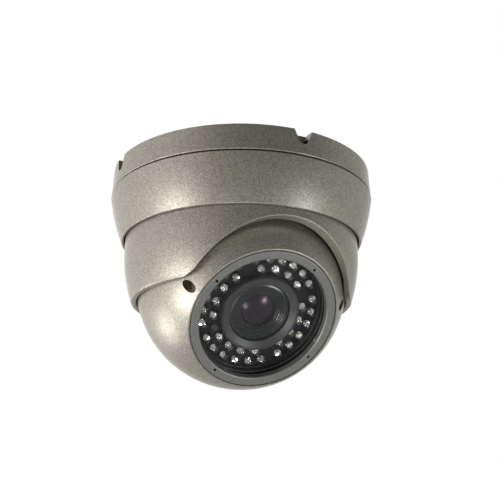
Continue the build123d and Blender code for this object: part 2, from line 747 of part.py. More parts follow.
# Front housing: spherical casting with the window seat, the lamp cup and the adjuster ports.
with BuildPart() as ball_front_housing:
    with BuildSketch(LENS.offset(PORT_BOSS_N)):
        with Locations(*ports):
            Circle(PORT_BOSS_R)
    extrude(amount=PORT_BOSS_REACH)
    with BuildSketch(LENS.offset(SEAM_N)):
        with Locations(*screw_spots):
            Circle(SCREW_BOSS_R)
    extrude(amount=SCREW_BOSS_LEN)
    for plane in TRUNNIONS:
        with BuildSketch(plane.offset(PIN_IN_X)):
            Circle(BOSS_R)
        extrude(amount=BUSH_LEN)
    with Locations(BALL_CENTRE):
        Sphere(BALL_R - OVERRUN / 2, mode=Mode.INTERSECT)
    with BuildSketch(MERIDIAN) as front_profile:
        with BuildLine():
            face_r = sphere_r(BALL_R, FACE_N)
            Polyline(
                (sphere_r(BALL_IN_R, SEAM_N), SEAM_N),
                (sphere_r(BALL_R, SEAM_N), SEAM_N),
            )
            seam_edge = (sphere_r(BALL_R, SEAM_N), SEAM_N)
            shoulder = (sphere_r(BALL_R, SHOULDER_N), SHOULDER_N)
            ThreePointArc(seam_edge, shoulder, (face_r, FACE_N))
            Polyline(
                (face_r, FACE_N),
                (BEZEL_R + BEZEL_GAP, FACE_N),
                (BEZEL_R + BEZEL_GAP, FACE_N - BEZEL_GAP_DEPTH),
                (BEZEL_R + RING_PLAY, FACE_N - BEZEL_GAP_DEPTH),
                (BEZEL_R + RING_PLAY, BEZEL_N),
                (GLASS_R + SEAT_PLAY, BEZEL_N),
                (GLASS_R + SEAT_PLAY, GLASS_SEAT_N),
                (BOARD_R + SEAT_PLAY, GLASS_SEAT_N),
                (BOARD_R + SEAT_PLAY, BOARD_N - BOARD_T),
                (CUP_LEDGE_R, BOARD_N - BOARD_T),
                (CUP_LEDGE_R, CUP_N),
                (CUP_R, CUP_N),
                (CUP_R, CUP_TOP_N),
                (sphere_r(BALL_IN_R, CUP_TOP_N), CUP_TOP_N),
            )
            ThreePointArc(
                (sphere_r(BALL_IN_R, CUP_TOP_N), CUP_TOP_N),
                (sphere_r(BALL_IN_R, BELT_N), BELT_N),
                (sphere_r(BALL_IN_R, SEAM_N), SEAM_N),
            )
        make_face()
        fillet(corners_at(front_profile, (face_r, FACE_N)), radius=BALL_RIM_ROUND)
    revolve(axis=LENS_AXIS)
    # Posts that carry the gear plate.
    with BuildSketch(LENS.offset(PLATE_N + PLATE_T)):
        with Locations(*posts):
            Circle(POST_R)
    extrude(amount=CUP_N - PLATE_N - PLATE_T + OVERRUN / 2)
    with BuildSketch(LENS.offset(PLATE_N + PLATE_T)):
        with Locations(*posts):
            Circle(POST_HOLE_R)
    extrude(amount=POST_HOLE_DEPTH, mode=Mode.SUBTRACT)
    # Adjuster ports, parallel to the lens axis.
    with BuildSketch(LENS.offset(PORT_BORE_N)):
        with Locations(*ports):
            Circle(PORT_R)
    extrude(amount=PORT_BORE_REACH, mode=Mode.SUBTRACT)
    # Screw holes of the rear housing, pivot bores and flats, lamp board screw holes, seal groove.
    with BuildSketch(LENS.offset(SEAM_N)):
        with Locations(*screw_spots):
            Circle(SCREW_TAP_R)
    extrude(amount=SCREW_TAP_DEPTH, mode=Mode.SUBTRACT)
    for plane in TRUNNIONS:
        with BuildSketch(plane.offset(PIN_BORE_X)):
            Circle(PIN_R + FIT)
        extrude(amount=PIN_BORE_LEN, mode=Mode.SUBTRACT)
        with BuildSketch(plane.offset(BOSS_X - FRICTION_T)):
            Circle(BOSS_R + OVERRUN)
        extrude(amount=BOSS_FACE_REACH, mode=Mode.SUBTRACT)
    with BuildSketch(LENS.offset(SEAM_N)):
        Circle(SEAL_GROOVE_R[1])
        Circle(SEAL_GROOVE_R[0], mode=Mode.SUBTRACT)
    extrude(amount=SEAL_GROOVE_DEPTH, mode=Mode.SUBTRACT)
ball_front_housing.part.label = "ball_front_housing"
export_step(ball_front_housing.part, "parts/ball_front_housing.step")

# Hollow of the rear housing.
with BuildPart() as rear_hollow:
    with Locations(BALL_CENTRE):
        Sphere(BALL_IN_R)
    split(bisect_by=LENS.offset(SEAM_N + OVERRUN), keep=Keep.BOTTOM)
    split(bisect_by=REAR_CUT.offset(REAR_CUT_D - (BALL_R - BALL_IN_R)), keep=Keep.BOTTOM)

# Rear housing: the back of the ball, cut flat where the cable leaves it.
with BuildPart() as ball_rear_housing:
    with Locations(BALL_CENTRE):
        Sphere(BALL_R)
    split(bisect_by=LENS.offset(SEAM_N), keep=Keep.BOTTOM)
    split(bisect_by=REAR_CUT.offset(REAR_CUT_D), keep=Keep.BOTTOM)
    add(rear_hollow.part, mode=Mode.SUBTRACT)
    with BuildSketch(LENS.offset(SEAM_N)):
        with Locations(*screw_spots):
            Circle(SCREW_PILLAR_R)
    extrude(amount=-SCREW_PILLAR_LEN)
    with Locations(BALL_CENTRE):
        Sphere(BALL_R, mode=Mode.INTERSECT)
    split(bisect_by=REAR_CUT.offset(REAR_CUT_D), keep=Keep.BOTTOM)
    with BuildSketch(LENS.offset(SEAM_N)):
        with Locations(*screw_spots):
            Circle(SCREW_CLEAR_R)
    extrude(amount=-BALL_R, mode=Mode.SUBTRACT)
    with BuildSketch(LENS.offset(HEAD_SEAT_N)):
        with Locations(*screw_spots):
            Circle(SCREW_HEAD_HOLE_R)
    extrude(amount=-BALL_R, mode=Mode.SUBTRACT)
    with BuildSketch(REAR_CUT.offset(REAR_CUT_D - 2 * GLAND_THREAD_LEN)):
        Circle(GLAND_BORE_R)
    extrude(amount=3 * GLAND_THREAD_LEN, mode=Mode.SUBTRACT)
ball_rear_housing.part.label = "ball_rear_housing"
export_step(ball_rear_housing.part, "parts/ball_rear_housing.step")

# Ball seal: rubber cord in the groove between the two housings.
with BuildPart() as ball_seal:
    with BuildSketch(LENS.offset(SEAM_N)):
        Circle(SEAL_GROOVE_R[1] - RING_PLAY)
        Circle(SEAL_GROOVE_R[0] + RING_PLAY, mode=Mode.SUBTRACT)
    extrude(amount=SEAL_GROOVE_DEPTH - RING_PLAY)
ball_seal.part.label = "ball_seal"
export_step(ball_seal.part, "parts/ball_seal.step")

# Ball screws: four cap screws from the back.
with BuildPart() as ball_screws:
    with BuildSketch(LENS.offset(HEAD_SEAT_N)):
        with Locations(*screw_spots):
            Circle(SCREW_SHANK_R)
    extrude(amount=SCREW_LEN)
    with BuildSketch(LENS.offset(HEAD_SEAT_N)):
        with Locations(*screw_spots):
            Circle(SCREW_HEAD_R)
    extrude(amount=-SCREW_HEAD_T)
    with BuildSketch(LENS.offset(HEAD_SEAT_N - SCREW_HEAD_T)):
        with Locations(*screw_spots):
            RegularPolygon(SCREW_SOCKET_R, 6)
    extrude(amount=SCREW_SOCKET_DEPTH, mode=Mode.SUBTRACT)
ball_screws.part.label = "ball_screws"
export_step(ball_screws.part, "parts/ball_screws.step")

# Trunnion pins: flanged steel pins, pushed out through the ball wall into the bushes.
with BuildPart() as trunnion_pins:
    for plane in TRUNNIONS:
        with BuildSketch(plane.offset(PIN_IN_X)):
            Circle(PIN_R)
        extrude(amount=PIN_LEN)
        with BuildSketch(plane.offset(PIN_IN_X)):
            Circle(PIN_HEAD_R)
        extrude(amount=-PIN_HEAD_T)
trunnion_pins.part.label = "trunnion_pins"
export_step(trunnion_pins.part, "parts/trunnion_pins.step")

# Tilt friction washers: nylon discs between the ball's flats and the shell's bosses.
with BuildPart() as tilt_friction_washers:
    for plane in TRUNNIONS:
        with BuildSketch(plane.offset(BOSS_X - FRICTION_T)):
            Circle(BOSS_R - 2 * RING_PLAY)
            Circle(PIN_R + RING_PLAY, mode=Mode.SUBTRACT)
        extrude(amount=FRICTION_T - RING_PLAY / 2)
tilt_friction_washers.part.label = "tilt_friction_washers"
export_step(tilt_friction_washers.part, "parts/tilt_friction_washers.step")

# Cable gland: screwed into the flat at the back of the ball, open for the camera cable.
with BuildPart() as cable_gland:
    with BuildSketch(REAR_CUT.offset(REAR_CUT_D - GLAND_THREAD_LEN)):
        Circle(GLAND_THREAD_R)
    extrude(amount=GLAND_THREAD_LEN)
    with BuildSketch(REAR_CUT.offset(REAR_CUT_D)):
        RegularPolygon(GLAND_HEX_R, 6)
    extrude(amount=GLAND_HEX_T)
    with BuildSketch(REAR_CUT.offset(REAR_CUT_D + GLAND_HEX_T)):
        Circle(GLAND_DOME_R)
    extrude(amount=GLAND_DOME_LEN)
    chamfer(cable_gland.edges().sort_by(Axis(BALL_CENTRE, REAR_CUT.z_dir))[-1], length=GLAND_DOME_EDGE)
    with BuildSketch(REAR_CUT.offset(REAR_CUT_D - GLAND_THREAD_LEN - OVERRUN)):
        Circle(CABLE_CORE_R)
    extrude(amount=4 * GLAND_THREAD_LEN, mode=Mode.SUBTRACT)
cable_gland.part.label = "cable_gland"
export_step(cable_gland.part, "parts/cable_gland.step")

# Front bezel: threaded ring with four spanner holes that holds the window.
with BuildPart() as front_bezel:
    with BuildSketch(MERIDIAN) as bezel_profile:
        with BuildLine():
            Polyline(
                (BEZEL_IN_R, BEZEL_N),
                (BEZEL_R, BEZEL_N),
                (BEZEL_R, FACE_N),
                (BEZEL_IN_R, FACE_N),
                close=True,
            )
        make_face()
        fillet(corners_at(bezel_profile, (BEZEL_R, FACE_N)), radius=BEZEL_OUT_ROUND)
        fillet(corners_at(bezel_profile, (BEZEL_IN_R, FACE_N)), radius=BEZEL_IN_ROUND)
    revolve(axis=LENS_AXIS)
    with BuildSketch(LENS.offset(FACE_N - SPANNER_HOLE_DEPTH)):
        with PolarLocations(SPANNER_R, 4, start_angle=SPANNER_TURN):
            Circle(SPANNER_HOLE_R)
    extrude(amount=SPANNER_HOLE_DEPTH + OVERRUN, mode=Mode.SUBTRACT)
front_bezel.part.label = "front_bezel"
export_step(front_bezel.part, "parts/front_bezel.step")

# Front glass: flat window.
with BuildPart() as front_glass:
    with BuildSketch(LENS.offset(GLASS_N)):
        Circle(GLASS_R)
    extrude(amount=BEZEL_N - GLASS_N)
front_glass.part.label = "front_glass"
export_step(front_glass.part, "parts/front_glass.step")

# Glass gasket: flat silicone ring under the window.
with BuildPart() as glass_gasket:
    with BuildSketch(LENS.offset(GLASS_SEAT_N)):
        Circle(GLASS_R)
        Circle(BOARD_R + GASKET_LAND, mode=Mode.SUBTRACT)
    extrude(amount=GLASS_N - GLASS_SEAT_N)
glass_gasket.part.label = "glass_gasket"
export_step(glass_gasket.part, "parts/glass_gasket.step")

outer_leds = led_places(OUTER_LED_R, OUTER_LED_PITCH, OUTER_LEDS)
inner_leds = led_places(INNER_LED_R, INNER_LED_PITCH, INNER_LEDS)
photocell_turn = radians(SECTOR_TURN + 180)
photocell_spot = (INNER_LED_R * cos(photocell_turn), INNER_LED_R * sin(photocell_turn))
gap_turns = [radians(SECTOR_TURN + 360 / SECTORS * sector) for sector in range(SECTORS)]
board_screws = [(BOARD_SCREW_RING_R * cos(turn), BOARD_SCREW_RING_R * sin(turn)) for turn in gap_turns]

# LED board: ring-shaped circuit board that carries the infrared lamps.
with BuildPart() as led_board:
    with BuildSketch(LENS.offset(BOARD_N - BOARD_T)):
        Circle(BOARD_R)
        Circle(BOARD_BORE_R, mode=Mode.SUBTRACT)
        with Locations(*board_screws):
            Circle(BOARD_HOLE_R, mode=Mode.SUBTRACT)
    extrude(amount=BOARD_T)
led_board.part.label = "led_board"
export_step(led_board.part, "parts/led_board.step")

# Outer infrared lamps: 5 mm clear lamps, six to a sector.
with BuildPart() as leds_outer:
    with BuildSketch(LENS.offset(BOARD_N)):
        with Locations(*outer_leds):
            Circle(LED_FLANGE_R)
    extrude(amount=LED_FLANGE_T)
    with BuildSketch(LENS.offset(BOARD_N)):
        with Locations(*outer_leds):
            Circle(LED_R)
    extrude(amount=LED_TIP_N - BOARD_N)
    fillet(leds_outer.edges().group_by(LENS_AXIS)[-1], radius=LED_R - LED_TIP_LAND)
leds_outer.part.label = "leds_outer"
export_step(leds_outer.part, "parts/leds_outer.step")

# Inner infrared lamps: 5 mm clear lamps, four to a sector.
with BuildPart() as leds_inner:
    with BuildSketch(LENS.offset(BOARD_N)):
        with Locations(*inner_leds):
            Circle(LED_FLANGE_R)
    extrude(amount=LED_FLANGE_T)
    with BuildSketch(LENS.offset(BOARD_N)):
        with Locations(*inner_leds):
            Circle(LED_R)
    extrude(amount=LED_TIP_N - BOARD_N)
    fillet(leds_inner.edges().group_by(LENS_AXIS)[-1], radius=LED_R - LED_TIP_LAND)
leds_inner.part.label = "leds_inner"
export_step(leds_inner.part, "parts/leds_inner.step")

# Photocell: light sensor that switches the lamps on, in one of the gaps between sectors.
with BuildPart() as photocell:
    with BuildSketch(LENS.offset(BOARD_N)):
        with Locations(photocell_spot):
            Circle(PHOTOCELL_R)
    extrude(amount=PHOTOCELL_H)
    fillet(photocell.edges().group_by(LENS_AXIS)[-1], radius=PHOTOCELL_EDGE)
photocell.part.label = "photocell"
export_step(photocell.part, "parts/photocell.step")

# LED holder: black moulding with a hole for each lamp and a stepped wall up to the window.
with BuildPart() as led_holder:
    holder_n = BOARD_N + HOLDER_LIFT
    holder_top_n = holder_n + HOLDER_T
    step_n = GLASS_SEAT_N - HOLDER_STEP
    with BuildSketch(MERIDIAN):
        with BuildLine():
            Polyline(
                (SHROUD_R + HOLDER_PLAY, holder_n),
                (HOLDER_R, holder_n),
                (HOLDER_R, BOARD_N),
                (BOARD_R, BOARD_N),
                (BOARD_R, GLASS_SEAT_N),
                (BOARD_R - HOLDER_WALL, GLASS_SEAT_N),
                (BOARD_R - HOLDER_WALL, step_n),
                (HOLDER_R, step_n - HOLDER_SLOPE),
                (HOLDER_R, holder_top_n),
                (SHROUD_R + HOLDER_PLAY, holder_top_n),
                close=True,
            )
        make_face()
    revolve(axis=LENS_AXIS)
    with BuildSketch(LENS.offset(holder_n)):
        with Locations(*outer_leds, *inner_leds, photocell_spot):
            Circle(LED_R + LAMP_PLAY)
    extrude(amount=HOLDER_T + OVERRUN, mode=Mode.SUBTRACT)
    with BuildSketch(LENS.offset(holder_n)):
        with Locations(*board_screws):
            Circle(HEAD_RECESS_R)
    extrude(amount=HEAD_RECESS_DEPTH, mode=Mode.SUBTRACT)
led_holder.part.label = "led_holder"
export_step(led_holder.part, "parts/led_holder.step")

# LED board screws: four pan-head screws into the cup's ledge.
with BuildPart() as led_board_screws:
    with BuildSketch(LENS.offset(BOARD_N)):
        with Locations(*board_screws):
            Circle(SMALL_HEAD_R)
    extrude(amount=SMALL_HEAD_T)
    with BuildSketch(LENS.offset(BOARD_N)):
        with Locations(*board_screws):
            Circle(SMALL_SCREW_R)
    extrude(amount=-BOARD_T - HOLDER_LIFT)
    with BuildSketch(LENS.offset(BOARD_N + SMALL_HEAD_T - CROSS_DEPTH)):
        with Locations(*board_screws):
            Rectangle(*CROSS_SLOT)
            Rectangle(*reversed(CROSS_SLOT))
    extrude(amount=CROSS_DEPTH, mode=Mode.SUBTRACT)
led_board_screws.part.label = "led_board_screws"
export_step(led_board_screws.part, "parts/led_board_screws.step")

# Lens shroud: rubber ring between the LED board and the window that keeps lamp light out.
with BuildPart() as lens_shroud:
    with BuildSketch(MERIDIAN):
        with BuildLine():
            Polyline(
                (SHROUD_IN_R, BOARD_N),
                (SHROUD_R - SHROUD_CHAMFER[0], BOARD_N),
                (SHROUD_R, BOARD_N + SHROUD_CHAMFER[1]),
                (SHROUD_R, GLASS_N - SHROUD_TOP_CHAMFER[1]),
                (SHROUD_R - SHROUD_TOP_CHAMFER[0], GLASS_N),
                (SHROUD_LIP_R, GLASS_N),
                (SHROUD_MOUTH_R, GLASS_N - SHROUD_MOUTH_DROPS[0]),
                (SHROUD_MOUTH_R, GLASS_N - SHROUD_MOUTH_DROPS[1]),
                (SHROUD_IN_R, GLASS_N - SHROUD_MOUTH_DROPS[2]),
                close=True,
            )
        make_face()
    revolve(axis=LENS_AXIS)
lens_shroud.part.label = "lens_shroud"
export_step(lens_shroud.part, "parts/lens_shroud.step")

# ======================================================================================
# Varifocal lens, sensor and boards
# ======================================================================================

MOUNT_TOP_N = ZOOM_N - 0.8
plate_top_n = PLATE_N + PLATE_T

# Lens barrel: tube with a stepped hood at the front and a flange that sits on the gear plate.
with BuildPart() as lens_barrel:
    with BuildSketch(MERIDIAN):
        with BuildLine():
            Polyline(
                *HOOD_STEPS,
                (HOOD_R, HOOD_N - HOOD_EDGE_DROP),
                (HOOD_R, FOCUS_N + HOOD_BACK_LIFT),
                (BARREL_R, FOCUS_N + HOOD_BACK_LIFT),
                (BARREL_R, plate_top_n + LENS_FLANGE_T),
                (LENS_FLANGE_R, plate_top_n + LENS_FLANGE_T),
                (LENS_FLANGE_R, plate_top_n),
                (BARREL_R, plate_top_n),
                (BARREL_R, MOUNT_TOP_N),
                (LENS_TAIL_R, MOUNT_TOP_N),
                (LENS_TAIL_R, LENS_TAIL_N),
                (LENS_TAIL_BORE_R, LENS_TAIL_N),
                (LENS_TAIL_BORE_R, REAR_STEP_N),
                (REAR_BORE_R, REAR_STEP_N),
                (REAR_BORE_R, MID_STEP_N),
                (MID_BORE_R, MID_STEP_N),
                (MID_BORE_R, ELEMENT_SEAT_N),
                (ELEMENT_SEAT_R, ELEMENT_SEAT_N),
                (ELEMENT_SEAT_R, ELEMENT_EDGE_N),
                (HOOD_STEPS[0][0], ELEMENT_EDGE_N),
                close=True,
            )
        make_face()
    revolve(axis=LENS_AXIS)
lens_barrel.part.label = "lens_barrel"
export_step(lens_barrel.part, "parts/lens_barrel.step")

# Front element: domed glass at the bottom of the hood.
with BuildPart() as front_element:
    with BuildSketch(MERIDIAN):
        with BuildLine():
            tip_n = ELEMENT_EDGE_N + ELEMENT_RISE
            Polyline((0, tip_n), (0, ELEMENT_N), (ELEMENT_R, ELEMENT_N), (ELEMENT_R, ELEMENT_EDGE_N))
            dome = dome_middle(ELEMENT_R, ELEMENT_EDGE_N, ELEMENT_RISE)
            ThreePointArc((ELEMENT_R, ELEMENT_EDGE_N), dome, (0, tip_n))
        make_face()
    revolve(axis=LENS_AXIS)
front_element.part.label = "front_element"
export_step(front_element.part, "parts/front_element.step")

# Rear elements: two smaller lenses inside the barrel.
with BuildPart() as rear_elements:
    with BuildSketch(MERIDIAN):
        for lens_r, (back_n, edge_n), rise in (
            (MIDDLE_LENS_R, MIDDLE_LENS_N, MIDDLE_LENS_RISE),
            (REAR_LENS_R, REAR_LENS_N, REAR_LENS_RISE),
        ):
            with BuildLine():
                Polyline((0, edge_n + rise), (0, back_n), (lens_r, back_n), (lens_r, edge_n))
                ThreePointArc((lens_r, edge_n), dome_middle(lens_r, edge_n, rise), (0, edge_n + rise))
            make_face()
    revolve(axis=LENS_AXIS)
rear_elements.part.label = "rear_elements"
export_step(rear_elements.part, "parts/rear_elements.step")

# Lens mount: block that holds the barrel above the image sensor.
with BuildPart() as lens_mount:
    with BuildSketch(LENS.offset(SENSOR_BOARD_N)):
        RectangleRounded(*MOUNT_FOOT)
    extrude(amount=MOUNT_FOOT_T)
    with BuildSketch(LENS.offset(SENSOR_BOARD_N)):
        Circle(MOUNT_R)
    extrude(amount=MOUNT_TOP_N - SENSOR_BOARD_N)
    with BuildSketch(LENS.offset(SENSOR_BOARD_N)):
        Circle(MOUNT_BORE_R)
    extrude(amount=MOUNT_TOP_N - SENSOR_BOARD_N, mode=Mode.SUBTRACT)
lens_mount.part.label = "lens_mount"
export_step(lens_mount.part, "parts/lens_mount.step")

# Infrared cut filter: thin coated plate in its frame, in front of the sensor.
with BuildPart() as ir_cut_filter:
    with BuildSketch(LENS.offset(FILTER_N)):
        RectangleRounded(*FILTER_SIZE)
    extrude(amount=FILTER_T)
    with BuildSketch(LENS.offset(SENSOR_BOARD_N)):
        with Locations((-FILTER_RAIL_U, 0), (FILTER_RAIL_U, 0)):
            Rectangle(*FILTER_RAIL)
    extrude(amount=FILTER_N - SENSOR_BOARD_N)
ir_cut_filter.part.label = "ir_cut_filter"
export_step(ir_cut_filter.part, "parts/ir_cut_filter.step")

# Image sensor: chip with a window on top.
with BuildPart() as image_sensor:
    with BuildSketch(LENS.offset(SENSOR_BOARD_N)):
        Rectangle(*SENSOR_SIZE)
    extrude(amount=SENSOR_T)
image_sensor.part.label = "image_sensor"
export_step(image_sensor.part, "parts/image_sensor.step")

# Sensor board: square circuit board behind the lens mount.
with BuildPart() as sensor_board:
    with BuildSketch(LENS.offset(SENSOR_BOARD_N - BOARD_T)):
        RectangleRounded(*SENSOR_BOARD_SIZE)
        with GridLocations(BOARD_PITCH, BOARD_PITCH, 2, 2):
            Circle(BOARD_HOLE_R, mode=Mode.SUBTRACT)
    extrude(amount=BOARD_T)
sensor_board.part.label = "sensor_board"
export_step(sensor_board.part, "parts/sensor_board.step")

# Main board: larger board with the power supply and video encoder.
with BuildPart() as main_board:
    with BuildSketch(LENS.offset(MAIN_BOARD_N - BOARD_T)):
        RectangleRounded(*MAIN_BOARD_SIZE)
        with GridLocations(BOARD_PITCH, BOARD_PITCH, 2, 2):
            Circle(BOARD_HOLE_R, mode=Mode.SUBTRACT)
    extrude(amount=BOARD_T)
main_board.part.label = "main_board"
export_step(main_board.part, "parts/main_board.step")

# Board standoffs: brass pillars between the two boards.
with BuildPart() as board_standoffs:
    with BuildSketch(LENS.offset(MAIN_BOARD_N)):
        with GridLocations(BOARD_PITCH, BOARD_PITCH, 2, 2):
            RegularPolygon(STANDOFF_R, 6)
    extrude(amount=SENSOR_BOARD_N - BOARD_T - MAIN_BOARD_N)
board_standoffs.part.label = "board_standoffs"
export_step(board_standoffs.part, "parts/board_standoffs.step")

# Board screws: pan-head screws through both boards into the standoffs.
with BuildPart() as board_screw_set:
    for face_n, way in ((SENSOR_BOARD_N, 1), (MAIN_BOARD_N - BOARD_T, -1)):
        with BuildSketch(LENS.offset(face_n)):
            with GridLocations(BOARD_PITCH, BOARD_PITCH, 2, 2):
                Circle(BOARD_HEAD_R)
        extrude(amount=BOARD_HEAD_T * way)
        with BuildSketch(LENS.offset(face_n)):
            with GridLocations(BOARD_PITCH, BOARD_PITCH, 2, 2):
                Circle(SMALL_SCREW_R)
        extrude(amount=-BOARD_T * way)
board_screw_set.part.label = "board_screws"
export_step(board_screw_set.part, "parts/board_screws.step")

# Board components: processor, regulator, coil and capacitors on the main board.
with BuildPart() as board_components:
    with BuildSketch(LENS.offset(MAIN_BOARD_N)):
        with Locations(CHIP_SPOT):
            Rectangle(*CHIP_SIZE)
    extrude(amount=CHIP_T)
    with BuildSketch(LENS.offset(MAIN_BOARD_N)):
        with Locations(*CAPACITOR_SPOTS):
            Circle(CAPACITOR_R)
    extrude(amount=CAPACITOR_H)
    with BuildSketch(LENS.offset(MAIN_BOARD_N - BOARD_T)):
        with Locations(*COIL_SPOTS):
            RectangleRounded(*COIL_SIZE)
    extrude(amount=-COIL_H)
board_components.part.label = "board_components"
export_step(board_components.part, "parts/board_components.step")

# Board connectors: pin headers for the lamp board and the camera cable.
with BuildPart() as board_connectors:
    with BuildSketch(LENS.offset(MAIN_BOARD_N)):
        with Locations(LAMP_HEADER_SPOT):
            Rectangle(*LAMP_HEADER)
    extrude(amount=HEADER_H)
    with BuildSketch(LENS.offset(MAIN_BOARD_N - BOARD_T)):
        with Locations(CABLE_HEADER_SPOT):
            Rectangle(*CABLE_HEADER)
    extrude(amount=-HEADER_H)
board_connectors.part.label = "board_connectors"
export_step(board_connectors.part, "parts/board_connectors.step")

# ======================================================================================
# Zoom and focus gearing
# ======================================================================================

focus_turn, focus_idler_spot, focus_idler_phase, focus_pinion_phase = train(1)
zoom_turn, zoom_idler_spot, zoom_idler_phase, zoom_pinion_phase = train(-1)

# Gear plate: carries the lens, the idler pins and the inner bearings of the adjuster shafts.
with BuildPart() as gear_plate:
    with BuildSketch(LENS.offset(PLATE_N)):
        Circle(PLATE_R)
        with Locations((0, PORT_V)):
            SlotCenterToCenter(2 * PORT_U, PLATE_EAR_W)
        Circle(BARREL_R + RING_PLAY, mode=Mode.SUBTRACT)
        with Locations(*posts):
            Circle(BOARD_HOLE_R, mode=Mode.SUBTRACT)
        with Locations(*ports):
            Circle(SHAFT_R + RUNNING, mode=Mode.SUBTRACT)
        with Locations(focus_idler_spot, zoom_idler_spot):
            Circle(IDLER_PIN_R + FIT, mode=Mode.SUBTRACT)
    extrude(amount=PLATE_T)
gear_plate.part.label = "gear_plate"
export_step(gear_plate.part, "parts/gear_plate.step")

# Gear plate screws: four screws up into the housing's posts.
with BuildPart() as gear_plate_screws:
    with BuildSketch(LENS.offset(PLATE_N)):
        with Locations(*posts):
            Circle(SMALL_HEAD_R)
    extrude(amount=-SMALL_HEAD_T)
    with BuildSketch(LENS.offset(PLATE_N)):
        with Locations(*posts):
            Circle(PLATE_SCREW_R)
    extrude(amount=PLATE_T + PLATE_SCREW_BITE)
gear_plate_screws.part.label = "gear_plate_screws"
export_step(gear_plate_screws.part, "parts/gear_plate_screws.step")

# Idler pins: headed pins, one standing above the gear plate and one hanging below it.
with BuildPart() as idler_pins:
    for spot, way in ((focus_idler_spot, 1), (zoom_idler_spot, -1)):
        start_n = PLATE_N if way > 0 else PLATE_N + PLATE_T
        with BuildSketch(lens_plane(*spot, start_n)):
            Circle(IDLER_PIN_R)
        extrude(amount=way * IDLER_PIN_LEN)
        with BuildSketch(lens_plane(*spot, start_n + way * IDLER_PIN_LEN)):
            Circle(IDLER_PIN_HEAD_R)
        extrude(amount=way * IDLER_PIN_HEAD_T)
idler_pins.part.label = "idler_pins"
export_step(idler_pins.part, "parts/idler_pins.step")

# Focus ring: toothed ring turning on the barrel above the gear plate.
with BuildPart() as focus_ring:
    with BuildSketch(LENS.offset(FOCUS_N)):
        with BuildLine():
            Polyline(*gear_outline(RING_TEETH, focus_turn), close=True)
        make_face()
    extrude(amount=GEAR_T)
    with BuildSketch(LENS.offset(FOCUS_N - RING_HUB_DROP)):
        Circle(RING_HUB_R)
    extrude(amount=FOCUS_HUB_LEN)
    with BuildSketch(LENS.offset(FOCUS_N - OVERRUN)):
        Circle(RING_BORE_R)
    extrude(amount=RING_BORE_REACH, mode=Mode.SUBTRACT)
focus_ring.part.label = "focus_ring"
export_step(focus_ring.part, "parts/focus_ring.step")

# Zoom ring: toothed ring turning on the barrel below the gear plate.
with BuildPart() as zoom_ring:
    with BuildSketch(LENS.offset(ZOOM_N)):
        with BuildLine():
            Polyline(*gear_outline(RING_TEETH, zoom_turn), close=True)
        make_face()
    extrude(amount=GEAR_T)
    with BuildSketch(LENS.offset(ZOOM_N - RING_HUB_DROP)):
        Circle(RING_HUB_R)
    extrude(amount=ZOOM_HUB_LEN)
    with BuildSketch(LENS.offset(ZOOM_N - OVERRUN)):
        Circle(RING_BORE_R)
    extrude(amount=RING_BORE_REACH, mode=Mode.SUBTRACT)
zoom_ring.part.label = "zoom_ring"
export_step(zoom_ring.part, "parts/zoom_ring.step")

# Focus idler: gear between the focus ring and its shaft.
with BuildPart() as focus_idler:
    with BuildSketch(lens_plane(*focus_idler_spot, FOCUS_N)):
        with BuildLine():
            Polyline(*gear_outline(IDLER_TEETH, focus_idler_phase), close=True)
        make_face()
    extrude(amount=GEAR_T)
    with BuildSketch(lens_plane(*focus_idler_spot, plate_top_n + RING_PLAY)):
        Circle(IDLER_HUB_R)
    extrude(amount=IDLER_HUB_LEN)
    with BuildSketch(lens_plane(*focus_idler_spot, plate_top_n)):
        Circle(IDLER_PIN_R + RUNNING)
    extrude(amount=IDLER_BORE_REACH, mode=Mode.SUBTRACT)
focus_idler.part.label = "focus_idler"
export_step(focus_idler.part, "parts/focus_idler.step")

# Zoom idler: gear between the zoom ring and its shaft.
with BuildPart() as zoom_idler:
    with BuildSketch(lens_plane(*zoom_idler_spot, ZOOM_N)):
        with BuildLine():
            Polyline(*gear_outline(IDLER_TEETH, zoom_idler_phase), close=True)
        make_face()
    extrude(amount=GEAR_T)
    with BuildSketch(lens_plane(*zoom_idler_spot, PLATE_N - RING_PLAY)):
        Circle(IDLER_HUB_R)
    extrude(amount=-IDLER_HUB_LEN)
    with BuildSketch(lens_plane(*zoom_idler_spot, PLATE_N)):
        Circle(IDLER_PIN_R + RUNNING)
    extrude(amount=-IDLER_BORE_REACH, mode=Mode.SUBTRACT)
zoom_idler.part.label = "zoom_idler"
export_step(zoom_idler.part, "parts/zoom_idler.step")

# Focus adjuster: slotted shaft with a pinion, behind the right-hand port.
with BuildPart() as focus_adjuster:
    with BuildSketch(lens_plane(PORT_U, PORT_V, PLATE_N)):
        Circle(SHAFT_R)
    extrude(amount=HEAD_N - PLATE_N)
    with BuildSketch(lens_plane(PORT_U, PORT_V, FOCUS_N)):
        with BuildLine():
            Polyline(*gear_outline(PINION_TEETH, focus_pinion_phase), close=True)
        make_face()
    extrude(amount=GEAR_T)
    with BuildSketch(lens_plane(PORT_U, PORT_V, HEAD_N)):
        Circle(PORT_R - RUNNING)
    extrude(amount=HEAD_TOP_N - HEAD_N)
    with BuildSketch(lens_plane(PORT_U, PORT_V, HEAD_TOP_N - SLOT_DEPTH)):
        Rectangle(*SLOT_SIZE)
    extrude(amount=SLOT_DEPTH + OVERRUN, mode=Mode.SUBTRACT)
focus_adjuster.part.label = "focus_adjuster"
export_step(focus_adjuster.part, "parts/focus_adjuster.step")

